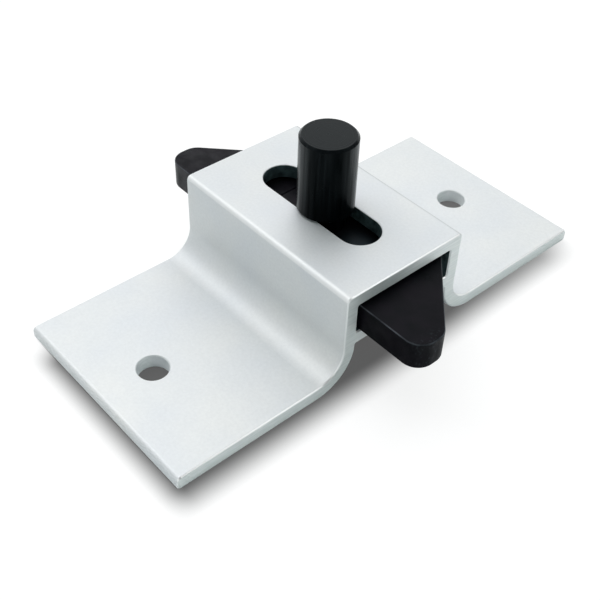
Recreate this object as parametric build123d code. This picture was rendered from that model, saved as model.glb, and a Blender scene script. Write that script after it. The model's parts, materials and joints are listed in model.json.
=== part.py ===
from build123d import *
import os
from math import tan, radians

# A surface-mounted slide latch for a partition door: an extruded housing, a flat bolt and a knob.
# The origin is midway between the two screw holes, on the face that lies against the door.
# X is the way the bolt slides, Y runs along the housing through both screw holes, and Z points
# away from the door. All sizes are in millimetres.

# Housing section, drawn in the YZ plane and carried along X
housing_length = 51.2           # along X, from one sawn face to the other
housing_span = 114.3            # along Y, over both flanges
flange_thickness = 3.2
bridge_width = 32.2             # over the outer faces of both legs
bridge_height = 23.4            # from the door to the top of the bridge
bridge_thickness = 3.2
leg_thickness = 3.05
foot_upper_radius = 6.4         # where a flange turns up into its leg, on the upper side
bridge_corner_radius = 1.2
channel_corner_radius = 0.4
flange_end_upper_radius = 1.0
flange_end_under_radius = 0.8
sawn_edge_chamfer = 0.25

# Lips that carry the bolt inside the channel
lip_thickness = 3.1
lip_reach = 4.1                 # inward from the leg
lip_corner_radius = 0.4
lip_root_radius = 0.2           # under the lip, where it meets the leg

# Openings in the housing
screw_spacing = 88.9
fixing_hole_diameter = 6.75
fixing_hole_chamfer = 0.2
slot_length = 32.6              # over its two round ends
slot_width = 9.5
slot_chamfer = 0.15

# Bolt
bolt_length = 79.5
bolt_thickness = 6.35
bevel_angle = 45.0              # between the bevel and the way the bolt slides
nose_width = 7.0                # end face of the bolt, before its corners are rounded
nose_side_radius = 4.0          # corner between the end face and the straight side
nose_bevel_radius = 4.0         # corner between the end face and the bevel
shoulder_radius = 1.0           # corner between the bevel and the bevelled side
bolt_edge_radius = 0.3
mark_offset = 12.7              # from the middle of the bolt to a fine line across its top
mark_width = 0.35
mark_depth = 0.2

# Knob
knob_diameter = 12.3
knob_height = 17.6              # of the wide part, above the neck
knob_top_chamfer = 0.5
knob_foot_chamfer = 0.25

# Countersunk screw that holds the knob to the bolt from beneath
screw_diameter = 4.8
screw_head_diameter = 9.2
screw_head_rim = 0.4            # straight part of the head, below its cone
screw_engagement = 9.5          # length of the screw inside the knob
screw_tip_chamfer = 0.6
recess_span = 5.2               # cross recess in the head
recess_width = 1.1
recess_depth = 1.9
tapped_hole_spare = 1.5         # depth of the knob's hole past the screw's tip

# Clearances of the fits
bolt_top_clearance = 0.75       # between the bolt and the bridge above it
bolt_lip_clearance = 0.1        # between the bolt and the lips below it
bolt_side_clearance = 0.9       # between the bolt and each leg
knob_lift = 0.3                 # between the knob and the bridge
neck_clearance = 0.25           # between the knob's neck and each side of the slot
neck_end_clearance = 0.1        # left between the neck and the slot's end at each stop
screw_clearance = 0.1           # around the screw and its head
head_depth = 0.15               # from the bolt's underside to the screw's head

# Where the bolt stands at rest, from the middle of the housing
bolt_rest = 1.4

# How far a cutting shape reaches past what it cuts
overcut = 1.0

# Sizes that follow from those above
leg_face = bridge_width / 2
channel_half = leg_face - leg_thickness
channel_top = bridge_height - bridge_thickness
bolt_half = channel_half - bolt_side_clearance
bolt_top = channel_top - bolt_top_clearance
bolt_bottom = bolt_top - bolt_thickness
lip_top = bolt_bottom - bolt_lip_clearance
lip_bottom = lip_top - lip_thickness
lip_tip = channel_half - lip_reach
foot_under_radius = min(foot_upper_radius + flange_thickness, lip_bottom - lip_root_radius)
neck_radius = slot_width / 2 - neck_clearance
knob_bottom = bridge_height + knob_lift
knob_top = knob_bottom + knob_height
screw_hole_radius = screw_diameter / 2 + screw_clearance
head_bottom = bolt_bottom + head_depth
head_cone_height = (screw_head_diameter - screw_diameter) / 2


def latch_housing():
    """One extrusion: two flanges, two legs with lips, and the bridge with its slot."""
    # Each corner of one half of the section: its Y, its Z and its radius
    upper_half = [
        (housing_span / 2, 0, flange_end_under_radius),
        (housing_span / 2, flange_thickness, flange_end_upper_radius),
        (leg_face, flange_thickness, foot_upper_radius),
        (leg_face, bridge_height, bridge_corner_radius),
    ]
    lower_half = [
        (channel_half, channel_top, channel_corner_radius),
        (channel_half, lip_top, channel_corner_radius),
        (lip_tip, lip_top, lip_corner_radius),
        (lip_tip, lip_bottom, lip_corner_radius),
        (channel_half, lip_bottom, lip_root_radius),
        (channel_half, 0, foot_under_radius),
    ]
    corners = upper_half
    corners = corners + [(-y, z, r) for y, z, r in reversed(upper_half)]
    corners = corners + [(-y, z, r) for y, z, r in reversed(lower_half)]
    corners = corners + lower_half
    outline = FilletPolyline(
        [(y, z) for y, z, _ in corners],
        radius=[r for _, _, r in corners],
        close=True,
    )
    section = Plane.YZ * make_face(outline)
    housing = extrude(section, housing_length / 2, both=True)

    # The two sawn faces are deburred all round
    sawn_faces = housing.faces().sort_by(Axis.X)
    sawn_edges = sawn_faces[0].edges() + sawn_faces[-1].edges()
    housing = chamfer(sawn_edges, sawn_edge_chamfer)

    # One screw hole in each flange, broken at its upper edge
    for side in (-1, 1):
        hole = Pos(0, side * screw_spacing / 2, 0) * bevelled_cutter(
            Circle(fixing_hole_diameter / 2), 0, flange_thickness, fixing_hole_chamfer
        )
        housing = housing - hole

    # The slot in the bridge, broken at its upper edge
    slot = bevelled_cutter(
        SlotOverall(slot_length, slot_width), channel_top, bridge_height, slot_chamfer
    )
    return housing - slot


def bevelled_cutter(outline, bottom, top, bevel):
    """A cutter through a plate from bottom to top that also breaks the plate's upper edge."""
    straight = extrude(Pos(0, 0, bottom - overcut) * outline, top - bottom + 2 * overcut)
    flare = extrude(Pos(0, 0, top - bevel) * outline, bevel + overcut, taper=-45)
    return straight + flare


def slide_bolt():
    """Flat bar, straight on one side and bevelled at both ends on the other."""
    # Corners of the bar seen from above, each with its radius
    nose = bolt_length / 2
    nose_corner = -bolt_half + nose_width
    shoulder = nose - (bolt_half - nose_corner) / tan(radians(bevel_angle))
    corners = [
        (nose, -bolt_half, nose_side_radius),
        (nose, nose_corner, nose_bevel_radius),
        (shoulder, bolt_half, shoulder_radius),
        (-shoulder, bolt_half, shoulder_radius),
        (-nose, nose_corner, nose_bevel_radius),
        (-nose, -bolt_half, nose_side_radius),
    ]
    outline = FilletPolyline(
        [(x, y) for x, y, _ in corners],
        radius=[r for _, _, r in corners],
        close=True,
    )
    bolt = extrude(Pos(0, 0, bolt_bottom) * make_face(outline), bolt_thickness)
    faces = bolt.faces().sort_by(Axis.Z)
    bolt = fillet(faces[0].edges() + faces[-1].edges(), bolt_edge_radius)

    # Two fine lines across the top, one on each side of the knob
    mark = Box(mark_width, 2 * bolt_half, 2 * mark_depth)
    for side in (-1, 1):
        bolt = bolt - Pos(side * mark_offset, 0, bolt_top) * mark

    # Countersunk hole for the knob's screw
    bolt = bolt - screw_space()
    return Pos(bolt_rest, 0, 0) * bolt


def screw_space():
    """What the screw and its head need in the bolt, with clearance all round."""
    head_radius = screw_head_diameter / 2 + screw_clearance
    rim_top = head_bottom + screw_head_rim
    cone_top = rim_top + head_cone_height
    profile = Polyline(
        (0, bolt_bottom - overcut),
        (head_radius, bolt_bottom - overcut),
        (head_radius, rim_top),
        (screw_hole_radius, cone_top),
        (screw_hole_radius, bolt_top + overcut),
        (0, bolt_top + overcut),
        close=True,
    )
    return revolve(Plane.XZ * make_face(profile), Axis.Z)


def knob():
    """Turned knob: a neck that runs in the slot and a wider cylinder above the bridge."""
    radius = knob_diameter / 2
    profile = Polyline(
        (0, bolt_top),
        (neck_radius, bolt_top),
        (neck_radius, knob_bottom),
        (radius - knob_foot_chamfer, knob_bottom),
        (radius, knob_bottom + knob_foot_chamfer),
        (radius, knob_top - knob_top_chamfer),
        (radius - knob_top_chamfer, knob_top),
        (0, knob_top),
        close=True,
    )
    body = revolve(Plane.XZ * make_face(profile), Axis.Z)

    # Blind hole for the screw, with the cone that a drill leaves
    hole_top = bolt_top + screw_engagement + tapped_hole_spare
    drill_cone_height = screw_hole_radius / 2
    hole = Polyline(
        (0, bolt_top - overcut),
        (screw_hole_radius, bolt_top - overcut),
        (screw_hole_radius, hole_top),
        (0, hole_top + drill_cone_height),
        close=True,
    )
    body = body - revolve(Plane.XZ * make_face(hole), Axis.Z)
    return Pos(bolt_rest, 0, 0) * body


def knob_screw():
    """Countersunk screw with a cross recess, its head towards the door."""
    head_radius = screw_head_diameter / 2
    radius = screw_diameter / 2
    rim_top = head_bottom + screw_head_rim
    tip = bolt_top + screw_engagement
    profile = Polyline(
        (0, head_bottom),
        (head_radius, head_bottom),
        (head_radius, rim_top),
        (radius, rim_top + head_cone_height),
        (radius, tip - screw_tip_chamfer),
        (radius - screw_tip_chamfer, tip),
        (0, tip),
        close=True,
    )
    screw = revolve(Plane.XZ * make_face(profile), Axis.Z)
    for angle in (0, 90):
        arm = Box(recess_span, recess_width, 2 * recess_depth)
        screw = screw - Pos(0, 0, head_bottom) * Rot(0, 0, angle) * arm
    return Pos(bolt_rest, 0, 0) * screw


pieces = {
    "latch_housing": latch_housing(),
    "slide_bolt": slide_bolt(),
    "knob": knob(),
    "knob_screw": knob_screw(),
}
os.makedirs("parts", exist_ok=True)
for name, shape in pieces.items():
    export_step(shape, f"parts/{name}.step")
    print(name, "volume", round(shape.volume, 1))

# How far the bolt slides from where it rests, until the neck is close to an end of the slot
travel = slot_length / 2 - neck_radius - neck_end_clearance
print("slides from", round(-travel - bolt_rest, 3), "to", round(travel - bolt_rest, 3))
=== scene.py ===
# %% [markdown]
# A slide latch keeps a partition door shut. A pale extruded housing is screwed to the door, a
# flat black bolt slides in it, and a round black knob stands on the bolt so a hand can push it.
# The four solids arrive finished in shape, in metres, at their places. They could be modelled
# again here, but loading them keeps every size true. This lesson gives each solid the finish of
# the real thing, and then builds a small photo studio around them.

# %% Load the packed latch
import json
from math import cos, pi, radians, sin

import bpy
from mathutils import Euler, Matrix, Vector


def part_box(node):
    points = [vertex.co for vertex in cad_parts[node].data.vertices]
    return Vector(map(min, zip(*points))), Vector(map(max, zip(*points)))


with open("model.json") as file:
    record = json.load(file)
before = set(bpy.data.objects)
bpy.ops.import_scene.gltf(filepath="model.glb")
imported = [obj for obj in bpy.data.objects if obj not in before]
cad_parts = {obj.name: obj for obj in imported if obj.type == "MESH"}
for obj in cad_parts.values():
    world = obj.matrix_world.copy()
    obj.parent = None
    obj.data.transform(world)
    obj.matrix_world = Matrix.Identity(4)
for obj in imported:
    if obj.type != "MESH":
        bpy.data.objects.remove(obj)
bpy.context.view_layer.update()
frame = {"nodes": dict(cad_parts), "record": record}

# %% [markdown]
# A workshop drawing of a latch is in millimetres, while Blender measures in metres. The numbers
# could be typed with many zeros. A name for a thousandth part reads better, and the places that
# the finishes need are measured on the solids, so they can't disagree with them.

# %% Sizes of the solids
mm = 0.001
half_length, half_span, bridge_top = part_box("latch_housing")[1]
print("its sawn faces stand", round(half_length / mm, 2), "mm from the middle")

# %% [markdown]
# Every finish below is a graph of small nodes, and so are the floor and the light in the room.
# A graph could be drawn by hand in the shader editor. In code there are only two moves, to add
# a node and to fill a socket, so both get a short name that works for any graph.

# %% A bench for node graphs
class Graph:
    """A tree of nodes, with short names for adding a node and filling a socket."""

    def __init__(self, tree):
        self.tree = tree

    def add(self, kind, **settings):
        node = self.tree.nodes.new(kind)
        for name, value in settings.items():
            setattr(node, name, value)
        return node

    def set(self, socket, value):
        """Gives a socket a plain value, or joins it to the output of another node."""
        if isinstance(value, bpy.types.NodeSocket):
            self.tree.links.new(value, socket)
        elif socket.type == "RGBA":
            socket.default_value = (*value, 1)
        else:
            socket.default_value = value


print("a graph can", [name for name in vars(Graph) if not name.startswith("_")])

# %% [markdown]
# The housing is aluminium. It was etched matt and then anodised, which leaves a thin clear coat.
# A finish like this is one material with one main shader. The solid already has a slot for its
# material, and filling that slot leaves the shape alone, so nothing is built over the solid.

# %% Satin anodised aluminium
class Finish(Graph):
    """A material, its graph and its main shader."""

    def __init__(self, name):
        self.material = bpy.data.materials.new(name)
        self.material.use_nodes = True
        super().__init__(self.material.node_tree)
        self.shader = self.tree.nodes["Principled BSDF"]

    def part(self, socket, value):
        self.set(self.shader.inputs[socket], value)

    def put_on(self, node_name):
        slots = frame["nodes"][node_name].data.materials
        slots.clear()
        slots.append(self.material)
        print(node_name, "wears", self.material.name, "with", len(self.tree.nodes), "nodes")


aluminium = Finish("satin_anodised_aluminium")
print("a new finish starts with", [node.name for node in aluminium.tree.nodes])

# %% [markdown]
# No two centimetres of an etched bar are quite alike. Painted spots would repeat or stretch, so
# the unevenness comes from noise, which has no seams. It is laid out in the solid's own
# coordinates, so that it stays on the metal when a piece slides. A scale that differs from axis
# to axis turns round grains into long lines.

# %% Grain
def grain(finish, size, stretch=(1, 1, 1), detail=2.0):
    """A soft random pattern with features about one size wide, around a value of one half."""
    place = finish.add("ShaderNodeTexCoord")
    scale = finish.add("ShaderNodeMapping")
    texture = finish.add("ShaderNodeTexNoise")
    finish.set(scale.inputs["Vector"], place.outputs["Object"])
    finish.set(scale.inputs["Scale"], stretch)
    finish.set(texture.inputs["Vector"], scale.outputs["Vector"])
    finish.set(texture.inputs["Scale"], 1 / size)
    finish.set(texture.inputs["Detail"], detail)
    return texture.outputs["Fac"]


cloud_size = 16 * mm
pit_size = 0.6 * mm
clouds = grain(aluminium, cloud_size)
pits = grain(aluminium, pit_size, detail=4)
print("clouds", cloud_size / mm, "mm wide, pits", pit_size / mm, "mm wide")

# %% [markdown]
# The anodised grey drifts between a bluish and a neutral tone, and the pits of the etch look a
# little darker. Noise seldom leaves the span from 0.3 to 0.7, so one helper stretches that span,
# or any other, over the values that a finish needs. The pattern then blends two tones, which
# keeps both of them exact, where a colour ramp would hide them inside a node.

# %% Two greys
def spread(finish, value, low, high, start=0.3, end=0.7, kind="LINEAR"):
    node = finish.add("ShaderNodeMapRange", interpolation_type=kind)
    finish.set(node.inputs["Value"], value)
    finish.set(node.inputs["From Min"], start)
    finish.set(node.inputs["From Max"], end)
    finish.set(node.inputs["To Min"], low)
    finish.set(node.inputs["To Max"], high)
    return node.outputs["Result"]


def blend(finish, amount, colour_a, colour_b):
    node = finish.add("ShaderNodeMixRGB")
    finish.set(node.inputs["Fac"], amount)
    finish.set(node.inputs["Color1"], colour_a)
    finish.set(node.inputs["Color2"], colour_b)
    return node.outputs["Color"]


bluish_grey = (0.735, 0.762, 0.785)
neutral_grey = (0.785, 0.80, 0.797)
pit_grey = (0.5, 0.52, 0.54)
drifting = blend(aluminium, spread(aluminium, clouds, 0, 1), bluish_grey, neutral_grey)
etched = blend(aluminium, spread(aluminium, pits, 0, 0.15), drifting, pit_grey)
print("the plain faces drift from", bluish_grey, "to", neutral_grey)

# %% [markdown]
# The bar was sawn to length, so the two cut faces carry fine lines along the saw's path. They
# could be a second material on their faces, but the packed mesh isn't split that way. The cut
# faces are the only ones that look along X, so the normal in the solid's own coordinates finds
# them, with a soft change over the rounded edges.

# %% Sawn faces
def looks(finish, axis, start, end):
    """0 where the normal's part along an axis is at start, and 1 where it is at end."""
    place = finish.add("ShaderNodeTexCoord")
    parts = finish.add("ShaderNodeSeparateXYZ")
    finish.set(parts.inputs["Vector"], place.outputs["Normal"])
    return spread(finish, parts.outputs[axis], 0, 1, start, end)


def calculate(finish, operation, a, b):
    node = finish.add("ShaderNodeMath", operation=operation)
    finish.set(node.inputs[0], a)
    finish.set(node.inputs[1], b)
    return node.outputs["Value"]


def looks_either_way(finish, axis, start, end):
    along = looks(finish, axis, start, end)
    against = looks(finish, axis, -start, -end)
    return calculate(finish, "MAXIMUM", along, against)


sawn = looks_either_way(aluminium, "X", 0.85, 0.95)
saw_line = 0.35 * mm
saw_lines = grain(aluminium, saw_line, stretch=(1, 0.06, 1), detail=3)
dark_sawn = (0.74, 0.775, 0.775)
light_sawn = (0.86, 0.885, 0.885)
sawn_tone = blend(aluminium, spread(aluminium, saw_lines, 0, 1), dark_sawn, light_sawn)
with_sawn = blend(aluminium, sawn, etched, sawn_tone)
print("saw lines", saw_line / mm, "mm apart")

# %% [markdown]
# A file took the sharpness off the sawn edges and left a thin bare rim there, which glints. A
# rim a quarter of a millimetre wide is too fine to paint by hand. It lies in the last quarter
# millimetre before each cut face, so the place in the solid's own coordinates finds it. Its pale
# grey is bare metal and also a painted highlight, strongest where the rim looks up and weaker
# on the upright sides.

# %% Filed rims
def lies(finish, axis, start, end):
    """0 where a point's place along an axis is at start, and 1 where it is at end."""
    place = finish.add("ShaderNodeTexCoord")
    parts = finish.add("ShaderNodeSeparateXYZ")
    finish.set(parts.inputs["Vector"], place.outputs["Object"])
    return spread(finish, parts.outputs[axis], 0, 1, start, end, "SMOOTHSTEP")


def times(finish, a, b):
    return calculate(finish, "MULTIPLY", a, b)


def between(finish, axis, low, high, soft=0.1 * mm):
    return times(finish, lies(finish, axis, low - soft, low), lies(finish, axis, high + soft, high))


rim_start = half_length - 0.23 * mm
rim_end = half_length - 0.03 * mm
rim_fade = 0.02 * mm
bare_and_glint_grey = (0.95, 0.96, 0.96)
near_rim = between(aluminium, "X", rim_start, rim_end, rim_fade)
far_rim = between(aluminium, "X", -rim_end, -rim_start, rim_fade)
rim_glint_up = spread(aluminium, looks(aluminium, "Z", 0.2, 0.6), 0.35, 1.0, 0, 1)
filed = times(aluminium, calculate(aluminium, "MAXIMUM", near_rim, far_rim), rim_glint_up)
with_filed = blend(aluminium, filed, with_sawn, bare_and_glint_grey)
print("the rims begin", round(rim_start / mm, 2), "mm from the middle")

# %% [markdown]
# The bridge has two long rounded corners. The near one gets a painted highlight, and the far
# one a painted dark reflection along it. Both corners lie at one height, and one looks
# towards -Y and the other towards +Y. Place and normal together pick each of them out.

# %% Corners of the bridge
corner_low = bridge_top - 1.6 * mm
corner_high = bridge_top - 1.2 * mm
bright_corner_strength = 0.45
dark_corner_strength = 0.8
up_there = lies(aluminium, "Z", corner_low, corner_high)
corner = times(aluminium, looks(aluminium, "Z", 0.15, 0.35), up_there)
painted_bright_corner = times(aluminium, corner, looks(aluminium, "Y", -0.1, -0.5))
painted_dark_corner = times(aluminium, corner, looks(aluminium, "Y", 0.1, 0.5))
bright_corner_amount = times(aluminium, painted_bright_corner, bright_corner_strength)
dark_corner_amount = times(aluminium, painted_dark_corner, dark_corner_strength)
with_bright_corner = blend(aluminium, bright_corner_amount, with_filed, (0.96, 0.97, 0.97))
with_dark_corner = blend(aluminium, dark_corner_amount, with_bright_corner, (0.42, 0.44, 0.45))
print("the corners begin at a height of", round(corner_low / mm, 2), "mm")

# %% [markdown]
# The two screw holes were drilled, and their walls get a painted shade, a little greyer than
# the etched faces, most where they look towards +X. They could be told apart by place alone,
# but the flange's faces lie in the same boxes. The walls are upright, the flange isn't, and
# boxes round the holes' places in the record leave out the legs.

# %% Painted shade on the drilled walls
holes = next(mount for mount in frame["record"]["mounts"] if mount["name"] == "screw_holes")["dims"]
hole_middle = holes["spacing_y_mm"] / 2 * mm
hole_reach = (holes["hole_r_mm"] + 0.2) * mm
deepest_hole_shade = 0.22
hole_shade_grey = (0.36, 0.40, 0.41)
hole_x = between(aluminium, "X", -hole_reach, hole_reach)
hole_near = between(aluminium, "Y", -hole_middle - hole_reach, -hole_middle + hole_reach)
hole_far = between(aluminium, "Y", hole_middle - hole_reach, hole_middle + hole_reach)
hole_box = times(aluminium, hole_x, calculate(aluminium, "MAXIMUM", hole_near, hole_far))
upright = calculate(aluminium, "SUBTRACT", 1.0, looks_either_way(aluminium, "Z", 0.3, 0.6))
shade_toward_x = times(aluminium, looks(aluminium, "X", 0.0, 0.9), deepest_hole_shade)
painted_hole_shade = times(aluminium, times(aluminium, hole_box, upright), shade_toward_x)
with_hole_shade = blend(aluminium, painted_hole_shade, with_dark_corner, hole_shade_grey)
print("the holes stand", hole_middle / mm, "mm from the middle")

# %% [markdown]
# The channel in which the bolt slides, and the walls of the slot in which the knob's neck
# runs, are painted nearly black, as painted shade and a painted reflection of the black bolt.
# The rendered shade alone would leave bare aluminium there too bright. A box in the solid's own
# coordinates holds just these walls. The cut ends of the channel are lit, so they are taken out
# again.

# %% Painted shade in the channel and slot
channel_side = 13.2 * mm
channel_low = 12.95 * mm
channel_high = 20.3 * mm
slot_side = 4.8 * mm
slot_high = bridge_top - 0.13 * mm
channel = times(aluminium, between(aluminium, "Y", -channel_side, channel_side),
                between(aluminium, "Z", channel_low, channel_high))
slot = times(aluminium, between(aluminium, "Y", -slot_side, slot_side),
             between(aluminium, "Z", channel_high, slot_high, 0.05 * mm))
lit_from = half_length - 0.4 * mm
lit_to = half_length - 0.3 * mm
lit_cut_ends = calculate(aluminium, "MAXIMUM", lies(aluminium, "X", -lit_from, -lit_to),
                  lies(aluminium, "X", lit_from, lit_to))
channel_shade = calculate(aluminium, "SUBTRACT", calculate(aluminium, "MAXIMUM", channel, slot), lit_cut_ends)
print("black between heights of", channel_low / mm, "and", round(slot_high / mm, 2), "mm")

# %% [markdown]
# The sawn face over the channel's mouth is greyed too, most beside the near leg, as a painted
# reflection of the black bolt below it. It could be drawn, but it has no sharp outline, so it
# is a product of slow ramps along Y and Z, a third as strong as the painted dark inside.

# %% Painted reflection over the channel's mouth
bolt_reflection_strength = 0.3
bolt_reflection_low = channel_high - 2 * mm
beside_leg = lies(aluminium, "Y", -15.5 * mm, -12 * mm)
thinning_out = lies(aluminium, "Y", 5 * mm, -9 * mm)
above_mouth = lies(aluminium, "Z", bolt_reflection_low, channel_high)
bolt_reflection = times(aluminium, times(aluminium, times(aluminium, beside_leg, thinning_out), above_mouth), sawn)
shade_and_reflection = calculate(aluminium, "MAXIMUM", channel_shade, times(aluminium, bolt_reflection, bolt_reflection_strength))
print("the smudge starts at a height of", round(bolt_reflection_low / mm, 2), "mm")

# %% [markdown]
# The painted dark isn't even: nearly black painted shade in one place and a dark teal painted
# reflection in the next, so noise blends between the two. This is the last layer of the
# housing's colour.

# %% Mottled painted dark
shade_black = (0.02, 0.035, 0.04)
reflected_teal = (0.16, 0.24, 0.26)
shade_mottle = spread(aluminium, grain(aluminium, 2 * mm), 0, 1)
shade_tone = blend(aluminium, shade_mottle, shade_black, reflected_teal)
aluminium.part("Base Color", blend(aluminium, shade_and_reflection, with_hole_shade, shade_tone))
print("the colour of the housing has", len(aluminium.tree.nodes), "nodes behind it")

# %% [markdown]
# An etched and anodised surface scatters light nearly as paper does, and still mirrors a little
# like metal. A pure metal would turn dark wherever it mirrors something dark. So the finish is
# part metal and part plain colour, rougher on the sawn faces and barer on the filed rims.

# %% Half a mirror
etch = grain(aluminium, 0.25 * mm, detail=3)
sawn_is_rougher_by = 0.05
filed_is_smoother_by = 0.18
satin = spread(aluminium, etch, 0.46, 0.56)
duller = calculate(aluminium, "ADD", satin, times(aluminium, sawn, sawn_is_rougher_by))
shinier = times(aluminium, filed, filed_is_smoother_by)
roughness = calculate(aluminium, "SUBTRACT", duller, shinier)
aluminium.part("Roughness", roughness)
aluminium.part("Metallic", spread(aluminium, filed, 0.4, 0.8, 0, 1))
print("roughness and metal both change over the housing")

# %% [markdown]
# Under the etch, faint lines run along the bar from the die that it was pressed through. Lines
# a few thousandths of a millimetre deep would need millions of faces. A bump node only tilts
# the normal as if the pattern were pressed in, to a depth in real units, and that is enough.

# %% Relief of the housing
def relief(finish, height, depth):
    node = finish.add("ShaderNodeBump")
    finish.set(node.inputs["Height"], height)
    finish.set(node.inputs["Distance"], depth)
    finish.part("Normal", node.outputs["Normal"])


housing_relief = 0.003 * mm
die_lines = times(aluminium, grain(aluminium, 0.5 * mm, stretch=(0.02, 1, 1)), 0.5)
deep_saw_lines = times(aluminium, times(aluminium, saw_lines, sawn), 2.0)
all_lines = calculate(aluminium, "ADD", die_lines, deep_saw_lines)
relief(aluminium, calculate(aluminium, "ADD", etch, all_lines), housing_relief)
aluminium.put_on("latch_housing")

# %% [markdown]
# The bolt is aluminium bar, anodised black: its oxide skin has drunk up a black dye. The dye
# hides the metal, so a very dark plain colour suits it better than a metal would. It took
# unevenly, and a slow noise mixes a cold black and a slightly purple one.

# %% Black dyed bolt
bolt = Finish("black_dyed_bolt")
patch_size = 5 * mm
patches = grain(bolt, patch_size, detail=4)
cold_black = (0.0028, 0.0036, 0.0045)
purple_black = (0.0080, 0.0066, 0.0095)
dye = blend(bolt, spread(bolt, patches, 0, 1), cold_black, purple_black)
print("the dye changes every", patch_size / mm, "mm")

# %% [markdown]
# On a surface this dark nearly all that shows is its weak gloss. The flat top has more of it
# than the sides, and it fades towards the end that hands have fingered most. The gloss could
# be left even, but then the long top would look like a cut-out. A slow change along X and
# patches on the sides make it a worn bar, and a painted sheen raises the gloss where the nose
# looks towards +X. A faint violet tint is the same all over, so it sits on the shader's own
# socket.

# %% Gloss of the bolt
worn_end = 34 * mm
along = lies(bolt, "X", worn_end, -worn_end)
top_gloss = spread(bolt, along, 0.07, 0.125, 0, 1)
side_gloss = spread(bolt, along, 0.02, 0.15, 0, 1)
fingered = spread(bolt, grain(bolt, 3 * mm), 0.6, 1.6)
on_flats = times(bolt, top_gloss, looks_either_way(bolt, "Z", 0.3, 0.7))
nose_sheen = spread(bolt, looks(bolt, "X", 0.3, 0.8), 1.0, 2.2, 0, 1)
on_sides = times(bolt, times(bolt, side_gloss, fingered), nose_sheen)
bolt.part("Specular IOR Level", calculate(bolt, "MAXIMUM", on_flats, on_sides))
bolt.part("Specular Tint", (0.88, 0.90, 1.0))
print("the gloss fades over", 2 * worn_end / mm, "mm")

# %% [markdown]
# Light falls through the slot onto the bolt's top beside the knob, and that pale patch is
# painted light on the dye. It is a faint cloud without an edge, so long ramps meet in it, and
# it thins out where the dye is patchy.

# %% Painted light through the slot
slot_light_near = 5 * mm
slot_light_far = 20 * mm
slot_light_side = 5 * mm
slot_light_middle = (slot_light_near + slot_light_far) / 2
slot_light_x = times(bolt, lies(bolt, "X", slot_light_near, slot_light_middle), lies(bolt, "X", slot_light_far, slot_light_middle))
slot_light_y = times(bolt, lies(bolt, "Y", -slot_light_side, 0), lies(bolt, "Y", slot_light_side, 0))
slot_light_cloud = times(bolt, times(bolt, slot_light_x, slot_light_y), spread(bolt, patches, 0.5, 1.0))
slot_light_on_top = times(bolt, slot_light_cloud, looks(bolt, "Z", 0.5, 0.9))
lit_dye = blend(bolt, slot_light_on_top, dye, (0.028, 0.042, 0.05))
print("the dust lies from", slot_light_near / mm, "to", slot_light_far / mm, "mm")

# %% [markdown]
# The bolt's edges are rounded, and there the dye has rubbed off, more in one place than in the
# next, and the pale line is partly a painted highlight too. An edge looks aslant, neither
# straight up nor straight to the side, so a band of the normal's slope finds it. A dirt or edge
# bake would find it too, but costs a bake.

# %% Rubbed and highlighted edges of the bolt
def edge_band(finish, axis, start, end):
    """1 where a surface looks aslant to an axis, and 0 where it looks along or across it."""
    aslant = looks_either_way(finish, axis, start, start + 0.1)
    square = looks_either_way(finish, axis, end, end + 0.08)
    return calculate(finish, "SUBTRACT", aslant, square)


rubbed_and_glint_grey = (0.10, 0.11, 0.125)
edge_wear_and_glint = times(bolt, edge_band(bolt, "Z", 0.2, 0.9), spread(bolt, patches, 0.0, 1.0))
worn_and_glinting = blend(bolt, edge_wear_and_glint, lit_dye, rubbed_and_glint_grey)
print("rubbed edges show", rubbed_and_glint_grey)

# %% [markdown]
# The bolt's end knocks against the keeper, and the latch can be fitted either hand, so both ends
# have small scuffs. They are specks rather than lines, because the bolt meets the keeper at many
# heights. They could be painted one by one. Here only the highest crests of a fine noise become
# specks, and only on the last millimetres of both ends.

# %% Scuffed ends
bolt_low, bolt_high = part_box("slide_bolt")
scuff_reach = 4 * mm
near_nose = lies(bolt, "X", bolt_high[0] - scuff_reach, bolt_high[0])
far_nose = lies(bolt, "X", bolt_low[0] + scuff_reach, bolt_low[0])
scuffed_grey = (0.045, 0.055, 0.062)
crests = grain(bolt, 0.5 * mm, stretch=(1, 1, 0.5), detail=4)
specks = spread(bolt, crests, 0, 0.5, 0.56, 0.72)
scuffs = times(bolt, calculate(bolt, "MAXIMUM", near_nose, far_nose), specks)
bolt.part("Base Color", blend(bolt, scuffs, worn_and_glinting, scuffed_grey))
print("scuffs reach", scuff_reach / mm, "mm from each end")

# %% [markdown]
# The dyed skin follows the etched metal below it. The same grain therefore drives both the
# small relief and part of the roughness, because a pit is also where the gloss breaks up.

# %% Skin of the bolt
bolt_relief = 0.002 * mm
bolt_etch = grain(bolt, 0.25 * mm, detail=3)
cloudy = calculate(bolt, "ADD", times(bolt, patches, 0.6), times(bolt, bolt_etch, 0.4))
bolt.part("Roughness", spread(bolt, cloudy, 0.26, 0.42))
relief(bolt, bolt_etch, bolt_relief)
bolt.put_on("slide_bolt")

# %% [markdown]
# The knob was turned from drawn bar. Drawing leaves streaks along the bar, and facing off its
# end leaves rings on the top. Rings are noise of one dimension, read at the distance from the
# knob's own axis, and that axis is measured on the solid because the bolt rests off the middle.

# %% Turned rings and drawn streaks
def rings(finish, middle, size):
    place = finish.add("ShaderNodeTexCoord")
    centred = finish.add("ShaderNodeMapping")
    finish.set(centred.inputs["Vector"], place.outputs["Object"])
    finish.set(centred.inputs["Location"], (-middle, 0, 0))
    finish.set(centred.inputs["Scale"], (1, 1, 0))
    radius = finish.add("ShaderNodeVectorMath", operation="LENGTH")
    finish.set(radius.inputs[0], centred.outputs["Vector"])
    texture = finish.add("ShaderNodeTexNoise", noise_dimensions="1D")
    finish.set(texture.inputs["W"], radius.outputs["Value"])
    finish.set(texture.inputs["Scale"], 1 / size)
    return texture.outputs["Fac"]


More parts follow.
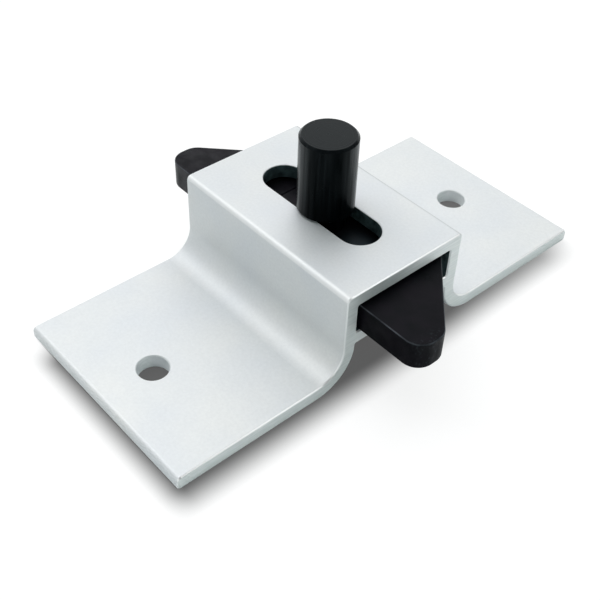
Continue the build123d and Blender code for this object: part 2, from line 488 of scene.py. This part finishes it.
knob = Finish("black_dyed_knob")
knob_low, knob_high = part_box("knob")
knob_middle = (knob_low[0] + knob_high[0]) / 2
turned = rings(knob, knob_middle, 0.35 * mm)
streaks = grain(knob, 0.7 * mm, stretch=(1, 1, 0.04), detail=3)
knob_top = looks(knob, "Z", 0.8, 0.95)
tooling = blend(knob, knob_top, streaks, turned)
print("the knob's axis stands", round(knob_middle / mm, 2), "mm from the middle")

# %% [markdown]
# The knob is anodised black like the bolt, but its turned skin is smoother and took the dye
# deeper. Its top edge was broken, and the dye is a little thinner there too.

# %% Black dyed knob
knob_dark = (0.0005, 0.0010, 0.0012)
knob_light = (0.0016, 0.0024, 0.0030)
knob_dye = blend(knob, spread(knob, tooling, 0, 1), knob_dark, knob_light)
knob_edge = times(knob, edge_band(knob, "Z", 0.2, 0.9), 0.15)
knob.part("Base Color", blend(knob, knob_edge, knob_dye, (0.03, 0.034, 0.038)))
knob.part("Roughness", spread(knob, tooling, 0.17, 0.30))
print("the knob's dye goes from", knob_dark, "to", knob_light)

# %% [markdown]
# A polished round bar is brightest near its two outlines and dark down its middle. Most of that
# comes from the shader, but dye on fine streaks makes it stronger than smooth plastic. Layer
# Weight tells how far the surface turns away, and less gloss towards the foot is a painted
# shade on the lowest part.

# %% Gloss of the knob
turning_away = knob.add("ShaderNodeLayerWeight").outputs["Facing"]
round_gloss = spread(knob, turning_away, 0.06, 0.26, 0.26, 0.66)
streaked = times(knob, round_gloss, spread(knob, streaks, 0.5, 1.4))
darkest_gloss_height = bridge_top + 0.6 * mm
full_gloss_height = knob_high[2] - 3.3 * mm
height = lies(knob, "Z", darkest_gloss_height, full_gloss_height)
knob_side_gloss = times(knob, streaked, spread(knob, height, 0.45, 1.15, 0, 1))
knob_top_gloss = times(knob, knob_top, 0.22)
knob.part("Specular IOR Level", calculate(knob, "MAXIMUM", knob_side_gloss, knob_top_gloss))
knob.part("Specular Tint", (0.74, 0.93, 1.0))
print("the knob is clean above", round(full_gloss_height / mm, 2), "mm")

# %% [markdown]
# Both tooling marks are worn nearly smooth, so the knob's relief is only the fine dye skin.

# %% Skin of the knob
knob_relief = 0.0015 * mm
relief(knob, grain(knob, 0.2 * mm, detail=3), knob_relief)
knob.put_on("knob")

# %% [markdown]
# A countersunk screw holds the knob from beneath, and shows only when the latch is turned over.
# It is zinc plated steel, which is a true metal with crystals that differ a little in tone.

# %% Zinc plated screw
screw = Finish("zinc_plated_steel")
crystals = grain(screw, 0.4 * mm, detail=3)
dark_zinc = (0.50, 0.50, 0.49)
light_zinc = (0.60, 0.60, 0.57)
screw.part("Base Color", blend(screw, spread(screw, crystals, 0, 1), dark_zinc, light_zinc))
screw.part("Metallic", 1.0)
screw.part("Roughness", spread(screw, crystals, 0.28, 0.42))
relief(screw, crystals, 0.001 * mm)
screw.put_on("knob_screw")

# %% [markdown]
# The photograph looks down at the latch from beyond the bolt's end. A camera could be aimed
# with a constraint, but then it has no roll of its own. Its direction is given by two angles,
# as for a telescope, and a small roll copies the tilt of the photograph.

# %% Camera
camera_place = Vector((119.34, -114.96, 150.14)) * mm
camera_azimuth = 47.31
camera_elevation = 43.06
camera_roll = 2.23
camera_data = bpy.data.cameras.new("camera")
camera_data.lens = 59.28
camera_data.sensor_width = 36
camera = bpy.data.objects.new("camera", camera_data)
bpy.context.scene.collection.objects.link(camera)
aim = Euler((radians(90 - camera_elevation), 0, radians(camera_azimuth))).to_matrix()
roll = Euler((0, 0, radians(camera_roll))).to_matrix()
camera.matrix_world = (aim @ roll).to_4x4()
camera.location = camera_place
bpy.context.scene.camera = camera
print("the camera is", round(camera_place.length / mm), "mm from the latch")

# %% [markdown]
# The latch lies on white paper. A floor needs only one large face, just below the latch so that
# the two surfaces don't fight for the same place.

# %% Floor
floor_half = 3.0
floor_drop = 0.02 * mm
floor_mesh = bpy.data.meshes.new("floor")
floor_corners = [(-1, -1), (1, -1), (1, 1), (-1, 1)]
floor_points = [(floor_half * x, floor_half * y, -floor_drop) for x, y in floor_corners]
floor_mesh.from_pydata(floor_points, [], [(0, 1, 2, 3)])
floor = bpy.data.objects.new("floor", floor_mesh)
bpy.context.scene.collection.objects.link(floor)
print("the floor is", 2 * floor_half, "m wide")

# %% [markdown]
# In the photograph the latch has one soft shade, along the sawn face near the camera and round
# both ends. Lamps broad enough for the pale metal give hardly any shade of their own, and more
# light would clip the metal. So the paper itself is darker there. Each side of the shade is a
# slow ramp, measured from the plate's outline, and it weakens towards the far end.

# %% Shade beside the plate
paper = Finish("white_paper")
shade_width = 8 * mm
shade_near_end = 5.4 * mm
shade_far_end = 2.3 * mm
weakest = 0.7
front = lies(paper, "X", half_length + shade_width, half_length - 1 * mm)
behind = lies(paper, "X", 2 * mm - half_length, 10 * mm - half_length)
near_end = lies(paper, "Y", -shade_near_end - half_span, 1.6 * mm - half_span)
far_end = lies(paper, "Y", half_span + shade_far_end, half_span - 11 * mm)
weaker = spread(paper, lies(paper, "Y", 60 * mm, 5 * mm), weakest, 1.0, 0, 1)
ends = times(paper, near_end, far_end)
beside = times(paper, times(paper, front, behind), times(paper, ends, weaker))
print("the shade reaches", shade_width / mm, "mm past the sawn face")

# %% [markdown]
# Under the plate and the bridge hardly any light reaches the paper. This second shade fills the
# outline of the plate, and shows through the screw holes and beneath the bridge. All its ramps
# stay inside the outline, or a thin dark line would show beside the plate.

# %% Shade under the plate
under_strength = 0.97
under_front = lies(paper, "X", half_length, half_length - 0.6 * mm)
under_behind = lies(paper, "X", -half_length, 9 * mm - half_length)
under_near = lies(paper, "Y", -half_span, 0.1 * mm - half_span)
under_far = lies(paper, "Y", half_span, half_span - 7 * mm)
under_x = times(paper, under_front, under_behind)
under = times(paper, under_x, times(paper, under_near, under_far))
shade = calculate(paper, "MAXIMUM", beside, times(paper, under, under_strength))
print("the paper has", len(paper.tree.nodes), "nodes so far")

# %% [markdown]
# White paper under soft lamps would come out grey in a picture, and brighter lamps would burn
# the latch out. So the paper glows for rays that come straight from the camera. Light that
# bounces from the paper onto the latch keeps a natural level, and rays that mirror the paper
# in the metal see it white. The Light Path node tells these rays apart.

# %% Rays that show the background
def background_rays(graph):
    """1 for rays that show the background: from the camera, or by way of a gloss or a glass."""
    path = graph.add("ShaderNodeLightPath")
    by_way = calculate(graph, "MAXIMUM", path.outputs["Is Glossy Ray"],
                       path.outputs["Is Transmission Ray"])
    return calculate(graph, "MAXIMUM", path.outputs["Is Camera Ray"], by_way)


def choose(graph, amount, shader_a, shader_b):
    node = graph.add("ShaderNodeMixShader")
    graph.set(node.inputs[0], amount)
    graph.set(node.inputs[1], shader_a)
    graph.set(node.inputs[2], shader_b)
    return node.outputs[0]


nodes_before = len(paper.tree.nodes)
shows_paper = background_rays(paper)
print("telling the rays apart took", len(paper.tree.nodes) - nodes_before, "nodes")

# %% [markdown]
# Four papers are needed: what lights the latch, what it mirrors, and two for the camera, of
# which one glows evenly and one still takes the latch's real shadow. Only the two for the
# camera carry the shade, because the latch's own shadow already dims what lights it.

# %% Paper
def sheet(kind, tone):
    node = paper.add(kind)
    paper.set(node.inputs["Color"], tone)
    return node.outputs[0]


def shaded(level, depth=0.88):
    """The level in the open, and darker by the depth where the shade is full."""
    dark = level * (1 - depth)
    return blend(paper, shade, (level, level, level), (dark, dark, dark))


glow_share = 0.85
lighting = sheet("ShaderNodeBsdfDiffuse", (0.8, 0.8, 0.8))
mirrored = sheet("ShaderNodeBsdfDiffuse", (1, 1, 1))
taking_shadow = sheet("ShaderNodeBsdfDiffuse", shaded(1.4))
glowing = sheet("ShaderNodeEmission", shaded(1.0))
off_camera = choose(paper, shows_paper, lighting, mirrored)
on_camera = choose(paper, glow_share, taking_shadow, glowing)
is_camera = paper.add("ShaderNodeLightPath").outputs["Is Camera Ray"]
paper_shader = choose(paper, is_camera, off_camera, on_camera)
paper.set(paper.tree.nodes["Material Output"].inputs["Surface"], paper_shader)
floor_mesh.materials.append(paper.material)
print("the floor wears", paper.material.name)

# %% [markdown]
# The room around the latch is a pale tent. Its air gives a weak even light, slightly green, and
# where the camera or a mirroring surface looks past the paper it sees plain white. A picture of
# a real studio could light the scene, but a plain tent gives the same result and needs no file.

# %% Room
air_level = 0.3
air_colour = (0.84, 1, 0.98)
world = bpy.data.worlds.new("studio")
bpy.context.scene.world = world
world.use_nodes = True
room = Graph(world.node_tree)
room.tree.nodes.clear()
air = room.add("ShaderNodeBackground")
room.set(air.inputs["Color"], air_colour)
room.set(air.inputs["Strength"], air_level)
backdrop = room.add("ShaderNodeBackground")
room.set(backdrop.inputs["Color"], (1, 1, 1))
room.set(backdrop.inputs["Strength"], 1.0)
output = room.add("ShaderNodeOutputWorld")
sky = choose(room, background_rays(room), air.outputs[0], backdrop.outputs[0])
room.set(output.inputs["Surface"], sky)
print("the air lights at a level of", air_level)

# %% [markdown]
# Two lamps light the latch. A very broad one behind its shoulder lights the tops and leaves the
# near leg in half shade, and a weak one opposite lights the sawn faces. Area lamps need a size
# and a distance to balance. A sun with a wide angle is just as soft and has one plain level.
# Azimuth 0 is the side towards -Y and 90 the side towards +X.

# %% Lamps
def from_centre(azimuth, elevation, distance):
    a = radians(azimuth)
    e = radians(elevation)
    return distance * Vector((sin(a) * cos(e), -cos(a) * cos(e), sin(e)))


lamp_distance = 0.7


def lamp(name, azimuth, elevation, spread_angle, colour, level):
    """A broad lamp, whose light on a white surface that faces it squarely is the level."""
    data = bpy.data.lights.new(name, "SUN")
    data.angle = radians(spread_angle)
    data.color = colour
    data.energy = level * pi
    lamp_object = bpy.data.objects.new(name, data)
    lamp_object.location = from_centre(azimuth, elevation, lamp_distance)
    lamp_object.rotation_euler = (-lamp_object.location).to_track_quat("-Z", "Y").to_euler()
    lamp_object.visible_glossy = False
    bpy.context.scene.collection.objects.link(lamp_object)
    print(name, "at", azimuth, "and", elevation, "degrees, level", level)


lamp("key", 253, 47, spread_angle=80, colour=(1, 0.978, 0.99), level=0.93)
lamp("fill", 100, 12, spread_angle=40, colour=(0.88, 1, 0.97), level=0.14)

# %% [markdown]
# A photographer hangs dark cloth and bright panels around shiny things, so that they have
# something to mirror. Black metal under an all white tent would look grey. Each cloth or panel
# here is a curved patch of a ball around the latch, which only mirrored rays can see, so it
# neither lights the latch nor shades it.

# %% A cloth or panel
columns = 16
rows = 6


def patch(name, azimuths, elevations, distance):
    points = []
    for i in range(columns + 1):
        azimuth = azimuths[0] + (azimuths[1] - azimuths[0]) * i / columns
        for j in range(rows + 1):
            elevation = elevations[0] + (elevations[1] - elevations[0]) * j / rows
            points.append(from_centre(azimuth, elevation, distance))
    faces = []
    for i in range(columns):
        for j in range(rows):
            a = i * (rows + 1) + j
            faces.append((a, a + 1, a + rows + 2, a + rows + 1))
    mesh = bpy.data.meshes.new(name)
    mesh.from_pydata(points, [], faces)
    return bpy.data.objects.new(name, mesh)


print("each cloth is a grid of", columns * rows, "faces")

# %% [markdown]
# Black cloth hangs behind the camera for the bolt and the knob. A grey one beside it keeps the
# bridge's far corner and the knob's right side from washing out, and a slightly paler one evens
# the long flanges. One small bright panel makes the filed rims glint, and a large one behind the
# latch gives the foot and the bolt's far end their sheen.

# %% Hang the cloths and panels
def hang(name, azimuths, elevations, level, distance):
    cloth = patch(name, azimuths, elevations, distance)
    cloth.visible_camera = False
    cloth.visible_diffuse = False
    cloth.visible_shadow = False
    bpy.context.scene.collection.objects.link(cloth)
    weave = Finish(name)
    weave.part("Base Color", (0, 0, 0))
    weave.part("Roughness", 1.0)
    weave.part("Specular IOR Level", 0.0)
    weave.part("Emission Color", (level, level, level))
    weave.part("Emission Strength", 1.0)
    cloth.data.materials.append(weave.material)
    print(name, "covers", azimuths, "by", elevations, "degrees, level", level)


hang("black_cloth", (-10, 108), (24, 78), level=0.02, distance=0.8)
hang("grey_cloth", (108, 188), (15, 64), level=0.15, distance=0.8)
hang("pale_cloth", (240, 257), (25, 50), level=0.2, distance=0.8)
hang("rim_panel", (106, 140), (22, 41), level=1.7, distance=0.75)
hang("back_panel", (264, 335), (44, 66), level=2.1, distance=0.75)

# %% [markdown]
# Blender's default view bends bright tones to look like film. A colour should come out as it was
# written here, so the plain view is set.

# %% Plain view
bpy.context.scene.view_settings.view_transform = "Standard"
